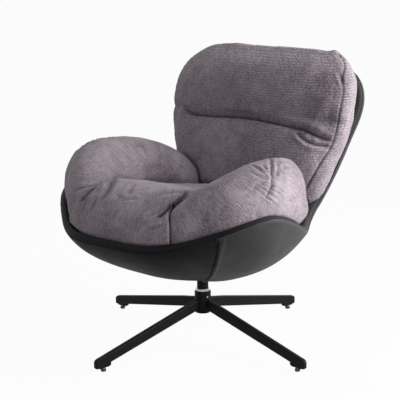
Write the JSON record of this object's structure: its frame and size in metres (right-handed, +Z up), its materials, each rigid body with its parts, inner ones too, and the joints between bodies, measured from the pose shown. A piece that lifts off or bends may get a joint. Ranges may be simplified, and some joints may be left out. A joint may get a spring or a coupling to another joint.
{
  "type": "swivel lounge chair",
  "caption": "Swivel lounge chair with a deep leather-covered shell, plump ribbed-fabric seat, back and arm cushions, and a low star base on screw glides.",
  "frame": {"origin": "on the floor, on the vertical swivel axis, midway between the glides", "axes": "+Z up; the sitter faces -Y; +X to the left hand of the sitter"},
  "size_m": [0.801, 0.8259, 0.8465],
  "materials": {
    "black_powder_coat": "satin",
    "zinc_plated_steel": "satin",
    "steel": "satin",
    "black_nylon": "matte",
    "sintered_bronze": "matte",
    "dark_grey_leather": "satin",
    "moulded_shell": "matte",
    "mauve_grey_chenille": "matte"
  },
  "bodies": {
    "base": {"base_hub": "black_powder_coat", "bush_lower": "sintered_bronze", "bush_upper": "sintered_bronze", "end_shoe_1": "black_powder_coat", "end_shoe_2": "black_powder_coat", "end_shoe_3": "black_powder_coat", "end_shoe_4": "black_powder_coat", "hub_bottom_cap": "black_nylon", "hub_set_screw": "zinc_plated_steel", "spoke_1": "black_powder_coat", "spoke_2": "black_powder_coat", "spoke_3": "black_powder_coat", "spoke_4": "black_powder_coat", "thrust_race_lower": "zinc_plated_steel"},
    "thrust_cage": {"thrust_cage": "zinc_plated_steel"},
    "seat": {"arm_cushion_left": "mauve_grey_chenille", "arm_cushion_right": "mauve_grey_chenille", "back_cushion": "mauve_grey_chenille", "column_sleeve": "black_powder_coat", "inner_liner": "dark_grey_leather", "mount_bolt_1": "zinc_plated_steel", "mount_bolt_2": "zinc_plated_steel", "mount_bolt_3": "zinc_plated_steel", "mount_bolt_4": "zinc_plated_steel", "outer_panel_front": "dark_grey_leather", "outer_panel_rear": "dark_grey_leather", "retaining_ring": "steel", "seat_cushion": "mauve_grey_chenille", "seat_mount_plate": "black_powder_coat", "shell_core": "moulded_shell", "swivel_spindle": "steel", "thrust_race_upper": "zinc_plated_steel", "thrust_washer": "black_nylon", "welt_left": "dark_grey_leather", "welt_right": "dark_grey_leather"},
    "glide_1": {"glide_stud_1": "zinc_plated_steel", "glide_pad_1": "black_nylon"},
    "glide_2": {"glide_stud_2": "zinc_plated_steel", "glide_pad_2": "black_nylon"},
    "glide_3": {"glide_stud_3": "zinc_plated_steel", "glide_pad_3": "black_nylon"},
    "glide_4": {"glide_stud_4": "zinc_plated_steel", "glide_pad_4": "black_nylon"}
  },
  "joints": [
    {"name": "seat_swivel", "type": "hinge", "parent": "base", "child": "seat", "pos_m": [0, 0, 0.147], "axis": [0, 0, 1], "continuous": true},
    {"name": "cage_roll", "type": "hinge", "parent": "base", "child": "thrust_cage", "pos_m": [0, 0, 0.147], "axis": [0, 0, 1], "continuous": true},
    {"name": "glide_1_screw", "type": "slide", "parent": "base", "child": "glide_1", "axis": [0, 0, -1], "range_m": [0, 0.008]},
    {"name": "glide_2_screw", "type": "slide", "parent": "base", "child": "glide_2", "axis": [0, 0, -1], "range_m": [0, 0.008]},
    {"name": "glide_3_screw", "type": "slide", "parent": "base", "child": "glide_3", "axis": [0, 0, -1], "range_m": [0, 0.008]},
    {"name": "glide_4_screw", "type": "slide", "parent": "base", "child": "glide_4", "axis": [0, 0, -1], "range_m": [0, 0.008]}
  ],
  "couplings": [
    {"joint": "cage_roll", "follows": "seat_swivel", "ratio": 0.5}
  ]
}
